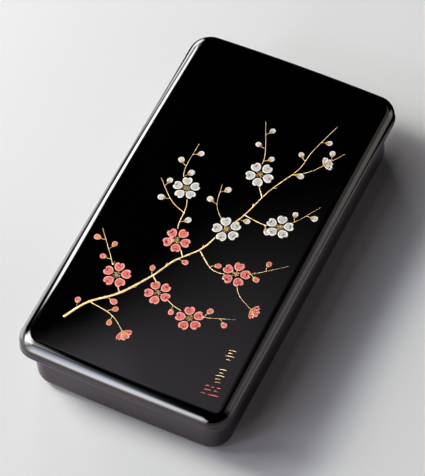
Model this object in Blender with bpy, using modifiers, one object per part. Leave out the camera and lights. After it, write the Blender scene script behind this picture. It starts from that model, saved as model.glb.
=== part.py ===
"""Japanese lacquered writing box: a shallow hollow box under a cap lid that lifts off.

Metres, +Z up. The origin is at the middle of the underside, +Y runs along the box and +X across it.
"""

import math

import bmesh
import bpy

# Overall size over the lid, with its length taken at the corners
LENGTH = 0.2408
WIDTH = 0.1335
HEIGHT = 0.0475

# Shape of the lid
CROWN = 0.0006
LID_DROP = 0.0109
LID_WALL = 0.0042
LID_TOP = 0.0042
LID_CORNER_RADIUS = 0.0128
LID_SHOULDER_RADIUS = 0.0052
LID_LIP_RADIUS = 0.0011

# Shape of the box under it
BOX_WALL = 0.0040
BOX_FLOOR = 0.0040
BOX_CORNER_RADIUS = 0.0125
BOX_HEEL_RADIUS = 0.0080
BOX_RIM_RADIUS = 0.0009

# The two short walls swell outwards by this much at their middles
END_SWELL = 0.0006

# Fits
SLIDE_GAP = 0.0007
REST_GAP = 0.0003
CUTTER_REACH = 0.0060

# Facets
CORNER_SEGMENTS = 8
SHOULDER_SEGMENTS = 7
LIP_SEGMENTS = 2
CUTS_ALONG = 12
CUTS_ACROSS = 8
RIM_ANGLE = math.radians(60)
SMOOTH_ANGLE = math.radians(40)
WELD_DISTANCE = 0.00001
LEVEL_TOLERANCE = 0.000001

# Levels that follow from the sizes
LID_EDGE_Z = HEIGHT - CROWN
LID_LIP_Z = LID_EDGE_Z - LID_DROP
LID_CEILING_Z = LID_EDGE_Z - LID_TOP
BOX_RIM_Z = LID_CEILING_Z - REST_GAP

# Distances in from the lid's outer walls
LID_CAVITY_INSET = LID_WALL
BOX_INSET = LID_WALL + SLIDE_GAP
BOX_CAVITY_INSET = BOX_INSET + BOX_WALL

# Finish
LACQUER_BLACK = (0.0035, 0.0033, 0.0035, 1.0)
LID_ROUGHNESS = 0.05
BOX_ROUGHNESS = 0.08


def clear_scene():
    for old in list(bpy.data.objects):
        bpy.data.objects.remove(old)


def new_collection(name):
    collection = bpy.data.collections.new(name)
    bpy.context.scene.collection.children.link(collection)
    return collection


def lacquer(name, roughness):
    """Polished black lacquer over wood."""
    material = bpy.data.materials.new(name)
    material.use_nodes = True
    shader = material.node_tree.nodes["Principled BSDF"]
    shader.inputs["Base Color"].default_value = LACQUER_BLACK
    shader.inputs["Roughness"].default_value = roughness
    shader.inputs["Metallic"].default_value = 0.0
    return material


def bulge(position, half):
    """A parabola along one side: one at the middle and nothing at the ends."""
    return max(0.0, 1.0 - (position / half) ** 2)


def swell_and_crown(bm, crown, crown_from):
    """Bows the short walls outwards, alike on every nested wall, and domes what is above crown_from."""
    innermost_end = LENGTH / 2 - BOX_CAVITY_INSET
    for vert in bm.verts:
        x, y, z = vert.co
        across = bulge(x, WIDTH / 2)
        vert.co.y += END_SWELL * across * max(-1.0, min(1.0, y / innermost_end))
        if z > crown_from:
            vert.co.z += crown * across * bulge(y, LENGTH / 2)


def level_edges(bm, z):
    """The edges that lie flat at this height, all the way round."""
    return [e for e in bm.edges if all(abs(v.co.z - z) < LEVEL_TOLERANCE for v in e.verts)]


def upright_edges(bm):
    return [e for e in bm.edges if abs(e.verts[0].co.z - e.verts[1].co.z) > LEVEL_TOLERANCE]


def round_edges(bm, edges, radius, segments):
    if radius > 0.0:
        bmesh.ops.bevel(bm, geom=edges, offset=radius, offset_type="OFFSET", segments=segments,
                        profile=0.5, affect="EDGES")


def cut_across(bm, axis, half, count):
    """Even cuts across the block, so that what they cross can curve."""
    for i in range(1, count):
        place = [0.0, 0.0, 0.0]
        place[axis] = -half + 2 * half * i / count
        normal = [0.0, 0.0, 0.0]
        normal[axis] = 1.0
        everything = bm.verts[:] + bm.edges[:] + bm.faces[:]
        bmesh.ops.bisect_plane(bm, geom=everything, plane_co=place, plane_no=normal,
                               dist=LEVEL_TOLERANCE)


def rounded_block(name, collection, inset, bottom, top, corner, top_round=0.0, bottom_round=0.0,
                  bottom_segments=SHOULDER_SEGMENTS, crown=0.0):
    """A block with rounded upright corners, inset from the lid's outline, with rounded top and bottom rims."""
    half_width = WIDTH / 2 - inset
    half_length = LENGTH / 2 - inset
    bm = bmesh.new()
    bmesh.ops.create_cube(bm, size=1.0)
    bmesh.ops.scale(bm, vec=(2 * half_width, 2 * half_length, top - bottom), verts=bm.verts)
    bmesh.ops.translate(bm, vec=(0.0, 0.0, (top + bottom) / 2), verts=bm.verts)
    round_edges(bm, upright_edges(bm), corner, CORNER_SEGMENTS)
    round_edges(bm, level_edges(bm, top), top_round, SHOULDER_SEGMENTS)
    round_edges(bm, level_edges(bm, bottom), bottom_round, bottom_segments)
    cut_across(bm, 0, half_width - corner, CUTS_ACROSS)
    if crown > 0.0:
        cut_across(bm, 1, half_length - corner, CUTS_ALONG)
    swell_and_crown(bm, crown, crown_from=(top + bottom) / 2)
    bmesh.ops.recalc_face_normals(bm, faces=bm.faces)
    mesh = bpy.data.meshes.new(name)
    bm.to_mesh(mesh)
    bm.free()
    block = bpy.data.objects.new(name, mesh)
    collection.objects.link(block)
    return block


def hide_cutter(cutter):
    cutter.hide_render = True
    cutter.display_type = "WIRE"


def hollow_out(solid, cutter):
    """Cuts the hollow, then joins the points that the cut leaves in the same place."""
    cut = solid.modifiers.new("Hollow", "BOOLEAN")
    cut.operation = "DIFFERENCE"
    cut.object = cutter
    weld = solid.modifiers.new("Weld", "WELD")
    weld.merge_threshold = WELD_DISTANCE


def soften_rim(solid, radius):
    """Rounds only the sharp edges that the hollow leaves round its mouth."""
    bevel = solid.modifiers.new("Rim", "BEVEL")
    bevel.width = radius
    bevel.segments = LIP_SEGMENTS
    bevel.limit_method = "ANGLE"
    bevel.angle_limit = RIM_ANGLE


def finish(solid, material):
    solid.data.materials.append(material)
    solid.data.shade_smooth()
    solid.data.set_sharp_from_angle(angle=SMOOTH_ANGLE)


def make_lid(parts, cutters):
    """The cap lid: a crowned top, wide rounded shoulders, a short skirt and a rounded lip."""
    lid = rounded_block("lid", parts, inset=0.0, bottom=LID_LIP_Z, top=LID_EDGE_Z,
                        corner=LID_CORNER_RADIUS, top_round=LID_SHOULDER_RADIUS,
                        bottom_round=LID_LIP_RADIUS, bottom_segments=LIP_SEGMENTS, crown=CROWN)
    hollow = rounded_block("lid_hollow", cutters, inset=LID_CAVITY_INSET,
                           bottom=LID_LIP_Z - CUTTER_REACH, top=LID_CEILING_Z,
                           corner=BOX_CORNER_RADIUS + SLIDE_GAP)
    hide_cutter(hollow)
    hollow_out(lid, hollow)
    finish(lid, lacquer("Lid lacquer", LID_ROUGHNESS))


def make_box(parts, cutters):
    """The box itself: one shell with a rounded heel, standing on its flat underside."""
    box = rounded_block("box", parts, inset=BOX_INSET, bottom=0.0, top=BOX_RIM_Z,
                        corner=BOX_CORNER_RADIUS, bottom_round=BOX_HEEL_RADIUS)
    hollow = rounded_block("box_hollow", cutters, inset=BOX_CAVITY_INSET,
                           bottom=BOX_FLOOR, top=BOX_RIM_Z + CUTTER_REACH,
                           corner=BOX_CORNER_RADIUS - BOX_WALL,
                           bottom_round=BOX_HEEL_RADIUS - BOX_WALL)
    hide_cutter(hollow)
    hollow_out(box, hollow)
    soften_rim(box, BOX_RIM_RADIUS)
    finish(box, lacquer("Box lacquer", BOX_ROUGHNESS))


def main():
    clear_scene()
    parts = new_collection("writing_box")
    cutters = new_collection("cutters")
    make_box(parts, cutters)
    make_lid(parts, cutters)


main()
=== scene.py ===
"""Black-lacquered writing box: a rounded cap lid over a shallow box, with cherry blossom on the lid.

Metres, +Z up, with the origin at the middle of the underside. +Y runs along the box and +X across it.
"""

import math
import random
from contextlib import contextmanager

import bmesh
import bpy
from mathutils import Matrix, Vector


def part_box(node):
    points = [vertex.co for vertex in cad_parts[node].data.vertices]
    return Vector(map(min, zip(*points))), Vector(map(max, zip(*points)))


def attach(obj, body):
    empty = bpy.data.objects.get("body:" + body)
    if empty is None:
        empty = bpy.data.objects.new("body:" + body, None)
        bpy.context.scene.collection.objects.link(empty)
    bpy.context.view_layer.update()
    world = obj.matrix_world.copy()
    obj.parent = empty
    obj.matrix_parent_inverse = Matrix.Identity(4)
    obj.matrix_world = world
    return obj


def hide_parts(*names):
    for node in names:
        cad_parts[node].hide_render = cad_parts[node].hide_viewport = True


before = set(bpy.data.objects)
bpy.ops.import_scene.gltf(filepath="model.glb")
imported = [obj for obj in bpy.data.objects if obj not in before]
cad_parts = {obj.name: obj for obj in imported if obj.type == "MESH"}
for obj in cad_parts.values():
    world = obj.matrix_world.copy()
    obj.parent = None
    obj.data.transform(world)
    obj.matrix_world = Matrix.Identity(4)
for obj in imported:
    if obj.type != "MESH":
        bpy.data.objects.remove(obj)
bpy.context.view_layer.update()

bl_info = {
    "name": "Lacquered writing box",
    "version": (1, 0, 0),
    "blender": (4, 5, 0),
    "location": "3D View > Sidebar > Writing Box",
    "description": "Builds a lacquered writing box, the spray on its lid and a small studio",
    "category": "Add Mesh",
}

LID_LOW, LID_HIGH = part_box("lid")
BOX_LOW, BOX_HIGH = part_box("box")

# A millimetre, how close counts as level, and how far both short walls bow
MM = 0.001
LEVEL = 0.000001
END_SWELL = 0.0009

# Angles up to which a surface is shaded smooth
SHELL_ANGLE = math.radians(50)
LINE_ANGLE = math.radians(60)
PETAL_ANGLE = math.radians(40)

# Small curves, the straight stretch beside each large one, and narrow rings inside the lid's flat top
BOX_RIM_ROUND = 0.0009
LID_MOUTH_ROUND = 0.0004
CEILING_ROUND = 0.0006
SUPPORT = 0.0005
EASE_RINGS = [0.0004] * 8 + [0.0008]

# The crown falls away from this far inside the lid's wall, over this stretch
FALL_FROM = 0.0082
FALL_OVER = 0.0060

# The skirt: its depth, its chamfer, the groove over that, its fuller corners and its level cuts
SKIRT_DEPTH = 0.0012
CHAMFER_TALL = 0.0016
CHAMFER_SLOPE = 0.27
GROOVE_FROM = 0.0020
GROOVE_TALL = 0.0026
GROOVE_DEEP = 0.00005
FLARE_TALL = 0.0056
FLARE_FADE = 0.0050
CUT_FROM = 0.0007
CUT_STEP = 0.0003
CUTS = 14

# Relief, in millimetres: width and length of each shape, and of the petal's map
PETAL = (5.9, 6.0)
PETAL_MAP = (5.9, 5.8)
BUD = (3.7, 4.4)
SEPAL = (0.90, 1.8)

# Places, in millimetres: a petal's foot from the centre, a bud beside and along its twig, the room that
# lines leave round a blossom, how far relief is sunk into the lid, and the heights of sepals over it
PETAL_FOOT = 2.6
BUD_ASIDE = 2.6
BUD_ONWARD = 1.4
CLEAR_OF_BLOSSOM = 6.5
SINK = 0.02
SEPAL_LIFT = 0.10
HALF_OPEN_LIFT = 0.12

# A petal: how much wider its tip is, its notch's depth in millimetres and half width, and where its
# paler rim begins and how fast it fades in. All but the depth are shares of the petal's half width
PETAL_FLARE = 0.14
NOTCH = 1.05
NOTCH_WIDE = 0.42
RIM_FROM = 0.76
RIM_OVER = 0.08

# Stamens, in millimetres: how many a blossom has, and the filament with a flattened bead at its end
STAMENS = 13
FILAMENT_RADIUS = 0.09
FILAMENT_LENGTH = 2.2
FILAMENT_AT = 1.5
BEAD_RADIUS = 0.27
BEAD_AT = 2.6
STAMEN_LIFT = 0.14

# Drawn lines, in millimetres: widths at both ends, heights, and how uneven the widths are
BOUGH_WIDTHS = (1.65, 0.30)
STALK_WIDTHS = (0.42, 0.28)
SPUR_WIDTHS = (0.75, 0.22)
BOUGH_TALL = 0.15
TWIG_TALL = 0.11
STALK_TALL = 0.10
STROKE_TALL = 0.08
UNEVEN = 0.16

# Stage, in metres: the floor, the sheet over it that only reflections see, the room and the lamps' aim
FLOOR_SIZE = 8.0
SHEET_SIZE = 3.0
SHEET_HEIGHT = 0.0004
ROOM_RADIUS = 10.0
LAMP_AIM = (0.0, 0.0, 0.020)

# Mirrored room: colours, and the levels of the two faintest of the left lights
WHITE = (1.0, 1.0, 1.0)
WALL_TINT = (1.07, 0.98, 0.93)
HAZE_TINT = (1.0, 0.93, 1.0)
SHELF_LIGHT = 2.0
SEAM_LIGHT = 3.3

# The spray's layout in millimetres on the lid: the bough and its twigs, each with its widths at both ends
BOUGH = [(-47, -93), (-39, -79), (-25, -66), (-13, -48), (-6, -34), (5, -20), (10, -5), (17, 10),
         (23, 31), (32, 51), (34, 66), (40, 88)]
TWIGS = [
    ([(-25, -66), (-34, -55), (-41, -46), (-54, -31)], 0.95, 0.30),
    ([(-13, -48), (4, -60), (21, -62), (43, -55)], 0.95, 0.30),
    ([(4, -22), (18, -31), (35, -26), (55, -11)], 0.95, 0.28),
    ([(-3, -30), (-14, -14), (-17, 4), (-28, 22), (-29, 44)], 0.95, 0.28),
    ([(17, 10), (32, 9), (44, 16), (55, 33)], 0.85, 0.28),
    ([(21, 25), (12, 38), (10, 52), (0, 74)], 0.80, 0.26),
    ([(30, 46), (40, 54), (52, 72)], 0.70, 0.26),
    ([(-38, -78), (-22, -81), (-8, -91)], 0.80, 0.28),
    ([(31, -28), (37, -39), (49, -46)], 0.60, 0.26),
    ([(-15, -3), (-26, 2), (-39, 14)], 0.60, 0.24),
    ([(11, -2), (0, 9), (-4, 24)], 0.60, 0.24),
]

# Open blossoms: place, turn, size and how far each is seen from the side
CORAL_BLOSSOMS = [(-32, -56, 10, 1.00, 1.00), (-5, -57, 42, 0.95, 0.96), (19, -65, 25, 1.00, 0.94),
                  (30, -28, 3, 1.00, 0.97), (-11, -21, 55, 0.98, 1.00)]
IVORY_BLOSSOMS = [(12, -3, 30, 1.02, 0.97), (39, 11, 8, 0.98, 0.94), (13, 39, 48, 1.00, 1.00),
                  (-22, 13, 18, 0.96, 0.95)]

# Half-open blossoms: place, turn and size
CORAL_HALF_OPEN = [(-12, -88, 232, 1.00), (48, -46, 262, 0.95)]
IVORY_HALF_OPEN = [(44, 60, 318, 0.95)]

# Buds: which twig, how far along it, which side and whether coral
BUDS = [
    (0, 0.66, 1, True), (0, 0.78, -1, True), (0, 0.90, 1, True),
    (1, 0.40, -1, True), (1, 0.76, 1, True), (1, 0.88, -1, True),
    (2, 0.28, 1, True), (2, 0.74, -1, True), (2, 0.86, 1, True),
    (3, 0.14, 1, True), (3, 0.34, -1, False), (3, 0.72, -1, False), (3, 0.82, 1, False), (3, 0.92, -1, False),
    (4, 0.30, -1, False), (4, 0.72, 1, False), (4, 0.86, -1, False),
    (5, 0.62, -1, False), (5, 0.76, 1, False), (5, 0.88, -1, False),
    (6, 0.84, 1, False), (7, 0.40, 1, True), (7, 0.56, -1, True),
    (9, 0.60, 1, False), (9, 0.82, -1, False), (10, 0.62, 1, False), (10, 0.84, -1, False),
    (11, 0.06, 1, True), (11, 0.15, -1, True), (11, 0.28, 1, True), (11, 0.385, -1, True),
    (11, 0.62, -1, False), (11, 0.80, -1, False), (11, 0.87, 1, False), (11, 0.95, -1, False),
]

# Bare spurs: which twig, how far along it and which side
SPURS = [(0, 0.50, -1), (1, 0.60, 1), (2, 0.60, 1), (3, 0.60, 1), (4, 0.56, -1), (5, 0.50, 1), (11, 0.22, -1),
         (11, 0.34, 1), (11, 0.46, 1), (11, 0.56, 1), (11, 0.68, 1), (11, 0.74, -1)]

# Short strokes in two colours where an inscription stands: start, end and width
GOLD_STROKES = [
    (48.2, -74.2, 52.4, -73.4, 0.50), (48.6, -76.0, 51.0, -75.6, 0.42), (48.0, -78.2, 52.8, -77.2, 0.50),
    (49.4, -80.2, 51.8, -79.8, 0.42),
    (48.8, -87.4, 53.0, -86.5, 0.50), (49.6, -89.4, 51.8, -89.0, 0.42), (48.4, -91.6, 53.4, -90.6, 0.55),
    (49.2, -93.7, 52.2, -93.1, 0.45), (50.0, -95.6, 53.2, -95.0, 0.45),
]
RED_STROKES = [
    (46.0, -99.8, 48.2, -99.2, 0.55), (49.6, -99.4, 51.2, -98.9, 0.50), (52.6, -98.8, 54.8, -98.2, 0.50),
    (46.4, -102.2, 50.4, -101.4, 0.60), (52.0, -101.2, 54.0, -100.8, 0.50),
    (45.8, -104.8, 48.4, -104.4, 0.55), (49.8, -104.4, 56.0, -103.4, 0.60),
]

# Lamps for the floor, fitted to the photo's floor by least squares: distance, bearings, elevations
# and colour
FLOOR_LAMPS = [
    (0.7, (120, 135), (20, 30), (8.5, 8.5, 9.1)),
    (0.7, (345, 360), (20, 30), (4.3, 4.0, 4.0)),
    (0.7, (180, 195), (46, 54), (20.0, 21.2, 21.2)),
    (0.7, (270, 285), (64, 78), (2.7, 2.3, 2.5)),
    (1.5, (180, 195), (38, 46), (26.3, 24.6, 17.7)),
    (1.5, (195, 210), (54, 64), (10.2, 10.3, 12.2)),
    (1.5, (195, 210), (64, 78), (6.5, 7.2, 7.1)),
    (3.5, (240, 255), (0.5, 10), (21.9, 20.3, 22.5)),
    (3.5, (150, 165), (20, 30), (9.3, 8.2, 7.5)),
    (3.5, (195, 210), (30, 38), (20.6, 20.8, 20.9)),
    (3.5, (225, 240), (30, 38), (7.7, 8.1, 9.7)),
    (3.5, (165, 180), (38, 46), (12.5, 12.7, 14.2)),
    (3.5, (180, 195), (46, 54), (22.1, 23.4, 23.3)),
    (3.5, (240, 255), (54, 64), (4.1, 3.6, 4.9)),
]


# Selection and edit mode

def deselect_all():
    bpy.ops.object.select_all(action="DESELECT")


def make_active(piece):
    deselect_all()
    piece.select_set(True)
    bpy.context.view_layer.objects.active = piece


@contextmanager
def editing(piece):
    """Edit mode on one piece, with nothing selected in it."""
    make_active(piece)
    bpy.ops.object.mode_set(mode="EDIT")
    bpy.ops.mesh.select_all(action="DESELECT")
    yield
    bpy.ops.object.mode_set(mode="OBJECT")


def select(piece, kind, wanted):
    """Selects the edges or the faces that are wanted, and nothing else."""
    bpy.ops.mesh.select_mode(type=kind)
    bpy.ops.mesh.select_all(action="DESELECT")
    bm = bmesh.from_edit_mesh(piece.data)
    for part in bm.edges if kind == "EDGE" else bm.faces:
        if wanted(part):
            part.select_set(True)
    bmesh.update_edit_mesh(piece.data)


def join(pieces, name):
    make_active(pieces[0])
    for piece in pieces:
        piece.select_set(True)
    if len(pieces) > 1:
        bpy.ops.object.join()
    pieces[0].name = name
    pieces[0].data.name = name
    return pieces[0]


def smooth(piece, angle):
    make_active(piece)
    bpy.ops.object.shade_smooth_by_angle(angle=angle)


# Shells of the box and lid

def is_upright(edge):
    return abs(edge.verts[0].co.z - edge.verts[1].co.z) > LEVEL


def is_level_at(z):
    """Edges or faces that lie flat at this height."""
    return lambda part: all(abs(vert.co.z - z) < LEVEL for vert in part.verts)


def is_sharp_at(z):
    """Edges at this height where two faces meet at a clear angle."""
    level, clear = is_level_at(z), math.radians(60)
    return lambda edge: level(edge) and edge.is_manifold and edge.calc_face_angle() > clear


def round_off(piece, wanted, radius, segments):
    select(piece, "EDGE", wanted)
    bpy.ops.mesh.bevel(offset_type="OFFSET", offset=radius, segments=segments, profile=0.5,
                       affect="EDGES", clamp_overlap=False)


def cut_at(axis, places):
    """Straight cuts right through the piece in edit mode."""
    normal = Vector((0.0, 0.0, 0.0))
    normal[axis] = 1.0
    for place in places:
        bpy.ops.mesh.select_all(action="SELECT")
        bpy.ops.mesh.bisect(plane_co=normal * place, plane_no=normal, threshold=LEVEL)


def evenly(reach, count):
    """Places from one side to the other, both ends included."""
    return [reach * (2 * i / (count - 1) - 1) for i in range(count)]


def bulge(position, half):
    """A parabola along one side: one at the middle and nothing at the ends."""
    return max(0.0, 1.0 - (position / half) ** 2)


def add_block(name, half_width, half_length, bottom, top):
    deselect_all()
    bpy.ops.mesh.primitive_cube_add(size=1.0, location=(0.0, 0.0, (bottom + top) / 2),
                                    scale=(2 * half_width, 2 * half_length, top - bottom))
    block = bpy.context.object
    block.name = name
    bpy.ops.object.transform_apply(location=True, rotation=True, scale=True)
    return block


def bow_ends(piece, sizes, inset_of_hollow):
    """Bows the short walls outwards, alike on every nested wall."""
    innermost = sizes.length / 2 - inset_of_hollow
    for vert in piece.data.vertices:
        x, y = vert.co.xy
        share = max(-1.0, min(1.0, y / innermost))
        swell = sizes.end_swell + (sizes.far_swell if y > 0.0 else 0.0)
        vert.co.y += swell * bulge(x, sizes.width / 2) * share


def past_core(sizes, x, y):
    """How far a place lies past the straight-sided core of the lid's outline, across and along."""
    return abs(x) - (sizes.width / 2 - sizes.lid_corner), abs(y) - (sizes.length / 2 - sizes.lid_corner)


def distance_in(sizes, x, y):
    """How far inside the lid's outer wall this place is."""
    across, along_it = past_core(sizes, x, y)
    outside = math.hypot(max(0.0, across), max(0.0, along_it)) + min(0.0, max(across, along_it))
    return sizes.lid_corner - outside


def outward(sizes, x, y):
    """The level direction that points out of the lid's wall here."""
    across, along_it = past_core(sizes, x, y)
    way = Vector((math.copysign(max(0.0, across), x), math.copysign(max(0.0, along_it), y), 0.0))
    return way.normalized()


def smoothstep(share):
    share = max(0.0, min(1.0, share))
    return share * share * (3.0 - 2.0 * share)


def crown_height(sizes, x, y):
    """Rise of the crowned top, which starts to fall away a little before the rounded shoulder."""
    rise = sizes.crown * bulge(x, sizes.width / 2) * bulge(y, sizes.length / 2)
    return rise - sizes.lead_in * smoothstep((FALL_FROM - distance_in(sizes, x, y)) / FALL_OVER)


def lid_surface(sizes, x, y):
    """Height of the lid's top at this place."""
    return sizes.height - sizes.crown + crown_height(sizes, x, y)


def skirt_profile(sizes, way, level):
    """How far the skirt stands out at this height above its lip: a chamfer, a groove and fuller corners."""
    chamfer = max(0.0, CHAMFER_TALL - level) * CHAMFER_SLOPE
    groove = math.sin(math.pi * min(1.0, max(0.0, (level - GROOVE_FROM) / GROOVE_TALL))) ** 2
    corner = (2 * way.x * way.y) ** 2 * smoothstep((FLARE_TALL - level) / FLARE_FADE)
    return -chamfer - GROOVE_DEEP * groove + sizes.corner_flare * corner


def rounded_block(sizes, name, inset, bottom, top, corner, top_round=0.0, bottom_round=0.0,
                  bottom_steps=4):
    """A block with rounded upright corners and rounded rims, with close cuts beside each curve."""
    half_width = sizes.width / 2 - inset
    half_length = sizes.length / 2 - inset
    block = add_block(name, half_width, half_length, bottom, top)
    with editing(block):
        round_off(block, is_upright, corner, sizes.corner_steps)
        if top_round > 0.0:
            round_off(block, is_level_at(top), top_round, sizes.rim_steps)
        if bottom_round > 0.0:
            round_off(block, is_level_at(bottom), bottom_round, bottom_steps)
        cut_at(0, evenly(half_width - corner - SUPPORT, sizes.cuts_across))
        cut_at(1, evenly(half_length - corner - SUPPORT, sizes.cuts_along))
    return block


def ease_flat(piece, z, rings):
    """Rings of narrow faces inside a flat top, so that its shine stays even up to its rounded rim."""
    select(piece, "FACE", is_level_at(z))
    for ring in rings:
        bpy.ops.mesh.inset(thickness=ring, depth=0.0)


def move_level_edges(piece, z, rise):
    """Lifts every edge that lies at this height."""
    select(piece, "EDGE", is_level_at(z))
    bpy.ops.transform.translate(value=(0.0, 0.0, rise))


def shell_of(outer, inner, open_end, name):
    """Joins an outer and an inner block at their open ends into one closed wall."""
    for block in (outer, inner):
        with editing(block):
            select(block, "FACE", is_level_at(open_end))
            bpy.ops.mesh.delete(type="FACE")
    aside = 0.010
    with editing(inner):
        move_level_edges(inner, open_end, aside)
    shell = join([outer, inner], name)
    with editing(shell):
        select(shell, "EDGE", lambda edge: edge.is_boundary)
        bpy.ops.mesh.bridge_edge_loops()
        move_level_edges(shell, open_end + aside, -aside)
        bpy.ops.mesh.select_all(action="SELECT")
        bpy.ops.mesh.remove_doubles(threshold=0.00001)
        bpy.ops.mesh.normals_make_consistent(inside=False)
    return shell


# Relief on the lid

def copy_of(piece, matrix):
    """A copy with its own mesh, moved by this matrix."""
    copy = bpy.data.objects.new(piece.name, piece.data.copy())
    bpy.context.scene.collection.objects.link(copy)
    copy.data.transform(matrix)
    return copy


def put_away(*masters):
    for master in masters:
        bpy.data.objects.remove(master)


def placing(x, y, turn=0.0, size=1.0, squeeze=1.0):
    """The matrix that turns, sizes and places a flat shape, in millimetres and degrees."""
    place = Matrix.Translation((x * MM, y * MM, 0.0))
    turned = Matrix.Rotation(math.radians(turn), 4, "Z")
    return place @ turned @ Matrix.Diagonal((size, size * squeeze, 1.0, 1.0))


def lay_on_lid(piece, sizes):
    """Lets a flat relief follow the lid's crowned top."""
    for vert in piece.data.vertices:
        vert.co.z += lid_surface(sizes, vert.co.x, vert.co.y) - SINK * MM


def map_flat(piece, width, length):
    """A UV map that runs across and along a flat shape of this size in millimetres."""
    layer = piece.data.uv_layers.active or piece.data.uv_layers.new(name="UVMap")
    for loop in piece.data.loops:
        place = piece.data.vertices[loop.vertex_index].co
        layer.data[loop.index].uv = (place.x / (width * MM) + 0.5, place.y / (length * MM))


def mark_rim(piece, width, length):
    """Stores which points lie on the outer rim, for the paler outline."""
    half_width, half_length = width * MM / 2, length * MM / 2
    rim = piece.data.attributes.new("rim", "FLOAT", "POINT")
    for vert, share in zip(piece.data.vertices, rim.data):
        up = vert.co.y / half_length - 1.0
        out = math.hypot(vert.co.x / (half_width * (1.0 + PETAL_FLARE * up)), up)
        share.value = max(0.0, min(1.0, (out - RIM_FROM) / RIM_OVER))


def raised_shape(name, points, outline, steps):
    """A flat outline raised into a pad. Each step insets its top and lifts or lowers it, in millimetres."""
    deselect_all()
    bpy.ops.mesh.primitive_circle_add(vertices=points, radius=1.0, fill_type="NGON")
    shape = bpy.context.object
    shape.name = name
    for vert in shape.data.vertices:
        vert.co = outline(vert.co.x, vert.co.y)
    with editing(shape):
        bpy.ops.mesh.select_mode(type="FACE")
        bpy.ops.mesh.select_all(action="SELECT")
        bpy.ops.mesh.extrude_region_move(TRANSFORM_OT_translate={"value": (0.0, 0.0, steps[0] * MM)})
        for inset, rise in steps[1:]:
            bpy.ops.mesh.inset(thickness=inset * MM, depth=rise * MM)
    return shape


def petal_outline(width, length, notch):
    """A round petal, widest above its middle, with a notch in its tip."""
    def outline(x, y):
        dip = notch * max(0.0, 1.0 - abs(x) / NOTCH_WIDE) if y > 0.0 else 0.0
        return (width / 2 * x * (1.0 + PETAL_FLARE * y) * MM, (length / 2 * (y + 1.0) - dip) * MM, 0.0)
    return outline


def pointed_outline(width, length):
    """A narrow leaf with a point at its tip."""
    def outline(x, y):
        taper = 1.0 - 0.55 * max(0.0, y) ** 2
        return (width / 2 * x * taper * MM, length / 2 * (y + 1.0) * MM, 0.0)
    return outline


def make_petal():
    petal = raised_shape("petal", 26, petal_outline(*PETAL, NOTCH),
                         [0.10, (0.16, 0.11), (0.26, 0.02), (0.26, -0.07), (0.45, -0.02), (0.45, 0.02)])
    map_flat(petal, *PETAL_MAP)
    mark_rim(petal, *PETAL_MAP)
    return petal


def make_bud():
    bud = raised_shape("bud", 20, petal_outline(*BUD, 0.0),
                       [0.09, (0.14, 0.10), (0.22, 0.02), (0.26, -0.06), (0.40, 0.0)])
    map_flat(bud, *BUD)
    mark_rim(bud, *BUD)
    return bud


def make_sepal():
    sepal = raised_shape("sepal", 12, pointed_outline(*SEPAL), [0.05, (0.12, 0.06), (0.16, 0.02)])
    map_flat(sepal, *SEPAL)
    return sepal


def make_stamen():
    """A thin filament with a bead at its end, pointing along +Y."""
    deselect_all()
    bpy.ops.mesh.primitive_cylinder_add(vertices=6, radius=FILAMENT_RADIUS * MM, depth=FILAMENT_LENGTH * MM,
                                        location=(0.0, FILAMENT_AT * MM, 0.0),
                                        rotation=(math.radians(90), 0.0, 0.0))
    filament = bpy.context.object
    bpy.ops.mesh.primitive_uv_sphere_add(segments=8, ring_count=6, radius=BEAD_RADIUS * MM,
                                         location=(0.0, BEAD_AT * MM, 0.0), scale=(1.0, 1.0, 0.7))
    bead = bpy.context.object
    for part in (filament, bead):
        make_active(part)
        bpy.ops.object.transform_apply(location=True, rotation=True, scale=True)
    stamen = join([filament, bead], "stamen")
    for vert in stamen.data.vertices:
        vert.co.z += STAMEN_LIFT * MM
    return stamen


def smooth_path(points, steps=8):
    """Places along a smooth line through these points."""
    stops = [Vector(point) for point in points]
    stops = [2 * stops[0] - stops[1]] + stops + [2 * stops[-1] - stops[-2]]
    path = []
    for before, start, end, after in zip(stops, stops[1:], stops[2:], stops[3:]):
        for i in range(steps):
            t = i / steps
            path.append((2 * start + (end - before) * t + (2 * before - 5 * start + 4 * end - after) * t ** 2
                         + (3 * start - before - 3 * end + after) * t ** 3) / 2)
    path.append(stops[-2])
    return path


def drawn_line(name, path, widths, height):
    """A tapered ridge along a path in millimetres, its UV map running round and along it."""
    curve = bpy.data.curves.new(name, "CURVE")
    curve.dimensions = "3D"
    curve.bevel_depth = 1.0
    curve.bevel_resolution = 2
    curve.use_fill_caps = True
    spline = curve.splines.new("POLY")
    spline.points.add(len(path) - 1)
    for point, place, width in zip(spline.points, path, widths):
        point.co = (place.x * MM, place.y * MM, 0.0, 1.0)
        point.radius = width / 2 * MM
    line = bpy.data.objects.new(name, curve)
    bpy.context.scene.collection.objects.link(line)
    make_active(line)
    bpy.ops.object.convert(target="MESH")
    line = bpy.context.object
    around = len(line.data.vertices) // len(path)
    layer = line.data.uv_layers.active or line.data.uv_layers.new(name="UVMap")
    for loop in line.data.loops:
        ring, spoke = divmod(loop.vertex_index, around)
        layer.data[loop.index].uv = (abs(2 * spoke / around - 1.0), 10 * ring / len(path))
    widest = max(widths) / 2
    for vert in line.data.vertices:
        vert.co.z *= height / widest
    with editing(line):
        bpy.ops.mesh.select_all(action="SELECT")
        bpy.ops.mesh.remove_doubles(threshold=LEVEL)
    return line


def tapered(count, start, end, wobble=0.0, dice=None):
    """Widths that run from start to end, with a seeded unevenness."""
    widths = []
    for i in range(count):
        share = i / (count - 1)
        uneven = 1.0 + (dice.uniform(-wobble, wobble) if dice else 0.0)
        widths.append((start + (end - start) * share) * uneven)
    return widths


def along(path, share):
    """The place and the direction this far along a path."""
    at = min(len(path) - 2, int(share * (len(path) - 1)))
    return path[at], (path[at + 1] - path[at]).normalized()


# Shader building

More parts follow.
